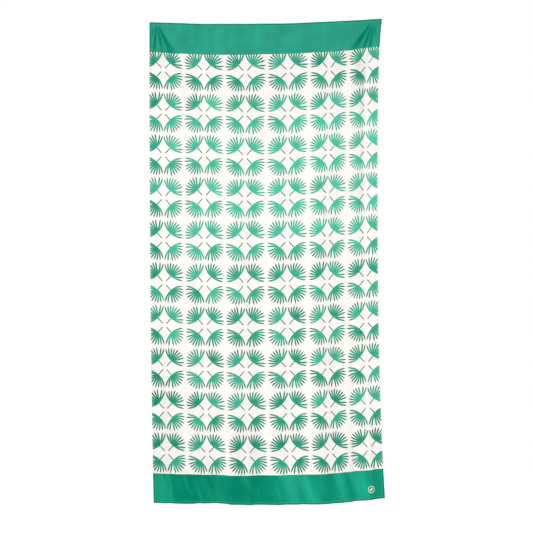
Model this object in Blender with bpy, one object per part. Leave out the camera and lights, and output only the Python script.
"""A printed quick dry towel, hung by its two top corners.

Metres, +Z up, the printed front towards -Y. The origin is midway between the two places
where the top corners are held, on the middle surface of the cloth.

The towel is one woven cloth. Its four edges are turned to the back and sewn down, so the
model has the front layer, one turned-under strip for each edge, the needle thread and the
bobbin thread of each seam, and a blank care label on the back.

Every piece is a slab over the same hung surface: a stretch of the flat cloth, given across
and down from the top left corner, and how far the slab lies in front of that surface.
"""

import math

import bmesh
import bpy
import numpy as np
from mathutils import Vector

# The cut cloth
TOWEL_WIDTH = 0.80
TOWEL_LENGTH = 1.60
CLOTH_THICKNESS = 0.0008
HEM_WIDTH = 0.0078
SEAM_INSET = 0.0062
THREAD_WIDTH = 0.0006
THREAD_HEIGHT = 0.0004
LAYER_GAP = 0.0003
LABEL_WIDTH = 0.032
LABEL_LENGTH = 0.022
LABEL_THICKNESS = 0.0004
LABEL_DOWN = 1.44

# Where the two top corners are held: a flat square of cloth at each
GRIP_SIZE = 0.025
GRIP_DOWN = 0.022
LEFT_GRIP_ACROSS = 0.027
RIGHT_GRIP_ACROSS = 0.771
GRIP_EASE = 0.045

# The outline of the hung cloth, seen from the front
TOP_EDGE_SPAN = 0.775
LEFT_HEM_DRIFT = 0.015
RIGHT_DRAW_IN = 0.0175
RIGHT_DRAW_LENGTH = 0.16
RIGHT_HEM_FLARE = 0.028
TOP_TILT = 0.012
HEM_TILT_MORE = 0.004
TOP_SAG = 0.011
HEM_SAG_MORE = 0.006

# How the cloth ripples in depth
WIDE_WAVE = {"depth": 0.0065, "length": 0.29, "start": 0.62, "drift": 0.22}
NARROW_WAVE = {"depth": 0.0030, "length": 0.152, "start": 0.10, "drift": -0.30}
# The long fold beside the right edge: a valley, with the cloth coming forward on each side
FOLD_ACROSS = 0.752
FOLD_DEPTH = 0.012
FOLD_WIDTH = 0.022
FOLD_SHOULDER = 0.005
FOLD_EDGE = 0.007
FOLD_END = 0.90
# The slanting hollow that starts at the left edge, two thirds of the way down
HOLLOW_START = 0.03
HOLLOW_SLANT = 0.42
HOLLOW_FALL = 0.70
HOLLOW_DEPTH = 0.007
HOLLOW_WIDTH = 0.026
HEM_CURL = 0.006

# Mesh lines
COLUMN_SPACING = 0.027
FOLD_SPACING = 0.0125
ROW_SPACING = 0.085
NORMAL_STEP = 0.0005


def ease(value):
    """0 below 0, 1 above 1, and smooth between."""
    clipped = np.clip(value, 0.0, 1.0)
    return clipped * clipped * (3.0 - 2.0 * clipped)


def ripple(wave, across, fall):
    """One set of near-vertical waves, which drift sideways and deepen down the cloth."""
    turn = across / wave["length"] + wave["start"] + wave["drift"] * fall
    return wave["depth"] * (0.35 + 0.65 * fall) * np.sin(2.0 * math.pi * turn)


def freedom(across, down):
    """0 on the held squares, rising to 1 where the cloth is free to ripple."""
    free = 1.0
    for held in (LEFT_GRIP_ACROSS, RIGHT_GRIP_ACROSS):
        beside = np.abs(across - held) - 0.5 * GRIP_SIZE
        below = np.abs(down - GRIP_DOWN) - 0.5 * GRIP_SIZE
        away = np.hypot(np.maximum(beside, 0.0), np.maximum(below, 0.0))
        free = free * ease((away - 2.0 * NORMAL_STEP) / GRIP_EASE)
    return free


def hump(value, width):
    """1 at 0, and nothing beyond about twice the width."""
    return np.exp(-((value / width) ** 2))


def long_fold(across, fall):
    """The valley beside the right edge, with its two shoulders, dying out towards the hem."""
    beside = across - FOLD_ACROSS
    valley = FOLD_DEPTH * hump(beside, FOLD_WIDTH)
    shoulder = FOLD_SHOULDER * hump(beside + 2.4 * FOLD_WIDTH, 1.4 * FOLD_WIDTH)
    edge = FOLD_EDGE * ease((beside - 0.4 * FOLD_WIDTH) / (1.4 * FOLD_WIDTH))
    return (valley - shoulder - edge) * ease((FOLD_END - fall) / 0.55)


def hollow(across, fall):
    """The hollow that slants in from the left edge towards the hem."""
    beside = across - HOLLOW_START - HOLLOW_SLANT * (fall - HOLLOW_FALL)
    return HOLLOW_DEPTH * hump(beside, HOLLOW_WIDTH) * ease((fall - HOLLOW_FALL + 0.06) / 0.12)


def depth(across, down):
    """How far the middle surface lies behind the plane of the two held corners."""
    fall = down / TOWEL_LENGTH
    waves = ripple(WIDE_WAVE, across, fall) + ripple(NARROW_WAVE, across, fall)
    folds = long_fold(across, fall) + hollow(across, fall)
    curl = -HEM_CURL * ease((fall - 0.9) / 0.1)
    return (waves + folds + curl) * freedom(across, down)


def side_edges(fall):
    """How far the left and the right edge lie from the top left corner, a share of the way down."""
    fall = max(fall, 0.0)
    left = LEFT_HEM_DRIFT * fall**2.5
    draw_in = RIGHT_DRAW_IN * (1.0 - math.exp(-fall * TOWEL_LENGTH / RIGHT_DRAW_LENGTH))
    return left, TOP_EDGE_SPAN - draw_in + RIGHT_HEM_FLARE * fall**3.5


def sideways(across, down):
    """How far right points on one row lie: the cloth follows its ripples and spans the edges."""
    fine = np.linspace(0.0, TOWEL_WIDTH, 401)
    slope = np.gradient(depth(fine, down), fine)
    travel = np.sqrt(np.maximum(1.0 - slope**2, 0.2))
    run = np.concatenate([[0.0], np.cumsum(0.5 * (travel[1:] + travel[:-1]))])
    left, right = side_edges(down / TOWEL_LENGTH)
    return left + (right - left) * np.interp(across, fine, run / run[-1])


def height(across, down):
    """How high a point is: the rows sag between the held corners and tilt up to the right."""
    share = across / TOWEL_WIDTH
    fall = down / TOWEL_LENGTH
    tilt = (TOP_TILT + HEM_TILT_MORE * fall) * share
    sag = (TOP_SAG + HEM_SAG_MORE * fall) * 4.0 * share * (1.0 - share)
    return tilt - sag - down


def from_corner(across, down):
    """A point of the cloth's middle surface, measured from its top left corner."""
    x = float(sideways(across, down))
    return Vector((x, float(depth(across, down)), float(height(across, down))))


GRIP_MIDDLE = from_corner(LEFT_GRIP_ACROSS, GRIP_DOWN).lerp(
    from_corner(RIGHT_GRIP_ACROSS, GRIP_DOWN), 0.5
)


def surface(across, down):
    """A point of the cloth's middle surface, measured from midway between the held corners."""
    return from_corner(across, down) - GRIP_MIDDLE


def front_normal(across, down):
    """The unit normal of the middle surface, towards the printed front."""
    over = surface(across + NORMAL_STEP, down) - surface(across - NORMAL_STEP, down)
    along = surface(across, down + NORMAL_STEP) - surface(across, down - NORMAL_STEP)
    return along.cross(over).normalized()


def lines(low, high, spacing, fixed=()):
    """Mesh lines from low to high, about a spacing apart, with every fixed line among them."""
    stops = sorted({low, high, *fixed})
    found = [low]
    for start, stop in zip(stops, stops[1:]):
        steps = max(1, round((stop - start) / spacing))
        found.extend(start + (stop - start) * (k + 1) / steps for k in range(steps))
    return found


def cloth_columns():
    """The lines across the whole width, closer together over the long fold."""
    half = 0.5 * GRIP_SIZE
    held = [LEFT_GRIP_ACROSS - half, LEFT_GRIP_ACROSS + half]
    held += [RIGHT_GRIP_ACROSS - half, RIGHT_GRIP_ACROSS + half]
    start = FOLD_ACROSS - 3.0 * FOLD_WIDTH
    plain = lines(0.0, start, COLUMN_SPACING, [HEM_WIDTH, *held[:2]])
    folded = lines(start, TOWEL_WIDTH, FOLD_SPACING, [*held[2:], TOWEL_WIDTH - HEM_WIDTH])
    return plain + folded[1:]


def cloth_rows(low=0.0, high=TOWEL_LENGTH):
    """The lines down the length between two ends."""
    half = 0.5 * GRIP_SIZE
    fixed = [HEM_WIDTH, GRIP_DOWN - half, GRIP_DOWN + half, TOWEL_LENGTH - HEM_WIDTH]
    inside = [line for line in fixed if low + LAYER_GAP < line < high - LAYER_GAP]
    return lines(low, high, ROW_SPACING, inside)


def slab(name, columns, rows, behind, ahead, material):
    """A closed slab over the hung surface, from behind to ahead of it along its normal."""
    mesh = bmesh.new()
    backs = []
    fronts = []
    for down in rows:
        back_row = []
        front_row = []
        for across in columns:
            point = surface(across, down)
            normal = front_normal(across, down)
            back_row.append(mesh.verts.new(point + normal * behind))
            front_row.append(mesh.verts.new(point + normal * ahead))
        backs.append(back_row)
        fronts.append(front_row)
    last_row = len(rows) - 1
    last_column = len(columns) - 1
    for j in range(last_row):
        for i in range(last_column):
            front = (fronts[j][i], fronts[j + 1][i], fronts[j + 1][i + 1], fronts[j][i + 1])
            back = (backs[j][i], backs[j][i + 1], backs[j + 1][i + 1], backs[j + 1][i])
            mesh.faces.new(front)
            mesh.faces.new(back)
    for i in range(last_column):
        for j, step in ((0, 1), (last_row, -1)):
            rim = [fronts[j][i], fronts[j][i + 1], backs[j][i + 1], backs[j][i]]
            mesh.faces.new(rim[::step])
    for j in range(last_row):
        for i, step in ((0, -1), (last_column, 1)):
            rim = [fronts[j][i], fronts[j + 1][i], backs[j + 1][i], backs[j][i]]
            mesh.faces.new(rim[::-step])
    data = bpy.data.meshes.new(name)
    bmesh.ops.recalc_face_normals(mesh, faces=mesh.faces)
    mesh.to_mesh(data)
    mesh.free()
    data.materials.append(material)
    data.shade_smooth()
    data.set_sharp_from_angle(angle=math.radians(40.0))
    piece = bpy.data.objects.new(name, data)
    bpy.context.scene.collection.objects.link(piece)
    return piece


def fabric(name, colour, roughness):
    """A plain cloth material."""
    made = bpy.data.materials.new(name)
    made.use_nodes = True
    shader = made.node_tree.nodes["Principled BSDF"]
    shader.inputs["Base Color"].default_value = (*colour, 1.0)
    shader.inputs["Roughness"].default_value = roughness
    shader.inputs["Metallic"].default_value = 0.0
    made.diffuse_color = (*colour, 1.0)
    return made


def clear_scene():
    for old in list(bpy.data.objects):
        bpy.data.objects.remove(old, do_unlink=True)


def hem_stretches():
    """Each hem's columns and rows: the top and bottom strips run right across, the sides between."""
    columns = cloth_columns()
    right = TOWEL_WIDTH - HEM_WIDTH
    bottom = TOWEL_LENGTH - HEM_WIDTH
    between = cloth_rows(HEM_WIDTH + LAYER_GAP, bottom - LAYER_GAP)
    return {
        "top": (columns, [0.0, HEM_WIDTH]),
        "bottom": (columns, [bottom, TOWEL_LENGTH]),
        "left": ([0.0, HEM_WIDTH], between),
        "right": ([right, TOWEL_WIDTH], between),
    }


def seam_stretches():
    """Each seam's columns and rows: one thread wide, and clear of the seam that it meets."""
    half = 0.5 * THREAD_WIDTH
    clear = SEAM_INSET + half + LAYER_GAP
    inside = [c for c in cloth_columns() if HEM_WIDTH <= c <= TOWEL_WIDTH - HEM_WIDTH]
    across = [LAYER_GAP, *inside, TOWEL_WIDTH - LAYER_GAP]
    down = cloth_rows(clear, TOWEL_LENGTH - clear)
    near = [SEAM_INSET - half, SEAM_INSET + half]
    far_down = [TOWEL_LENGTH - line for line in reversed(near)]
    far_across = [TOWEL_WIDTH - line for line in reversed(near)]
    return {
        "top": (across, near),
        "bottom": (across, far_down),
        "left": (near, down),
        "right": (far_across, down),
    }


def build_towel():
    print_cloth = fabric("towel_cloth", (0.86, 0.86, 0.82), 0.9)
    band_cloth = fabric("band_cloth", (0.02, 0.35, 0.23), 0.9)
    band_thread = fabric("band_thread", (0.05, 0.42, 0.30), 0.6)
    side_thread = fabric("side_thread", (0.84, 0.85, 0.81), 0.6)
    label_cloth = fabric("label_cloth", (0.80, 0.80, 0.78), 0.7)

    face = 0.5 * CLOTH_THICKNESS
    fold_front = -face - LAYER_GAP
    fold_back = fold_front - CLOTH_THICKNESS
    slab("towel_panel", cloth_columns(), cloth_rows(), -face, face, print_cloth)
    for side, (columns, rows) in hem_stretches().items():
        cloth = band_cloth if side in ("top", "bottom") else print_cloth
        slab(side + "_hem_fold", columns, rows, fold_back, fold_front, cloth)
    needle = face + LAYER_GAP
    bobbin = fold_back - LAYER_GAP
    for side, (columns, rows) in seam_stretches().items():
        yarn = band_thread if side in ("top", "bottom") else side_thread
        slab(side + "_needle_thread", columns, rows, needle, needle + THREAD_HEIGHT, yarn)
        slab(side + "_bobbin_thread", columns, rows, bobbin - THREAD_HEIGHT, bobbin, yarn)

    label_left = HEM_WIDTH + LAYER_GAP
    label_columns = lines(label_left, label_left + LABEL_WIDTH, 0.5 * LABEL_WIDTH)
    label_rows = lines(LABEL_DOWN, LABEL_DOWN + LABEL_LENGTH, LABEL_LENGTH)
    label_front = fold_front - LAYER_GAP
    label_back = label_front - LABEL_THICKNESS
    slab("care_label", label_columns, label_rows, label_back, label_front, label_cloth)


clear_scene()
build_towel()
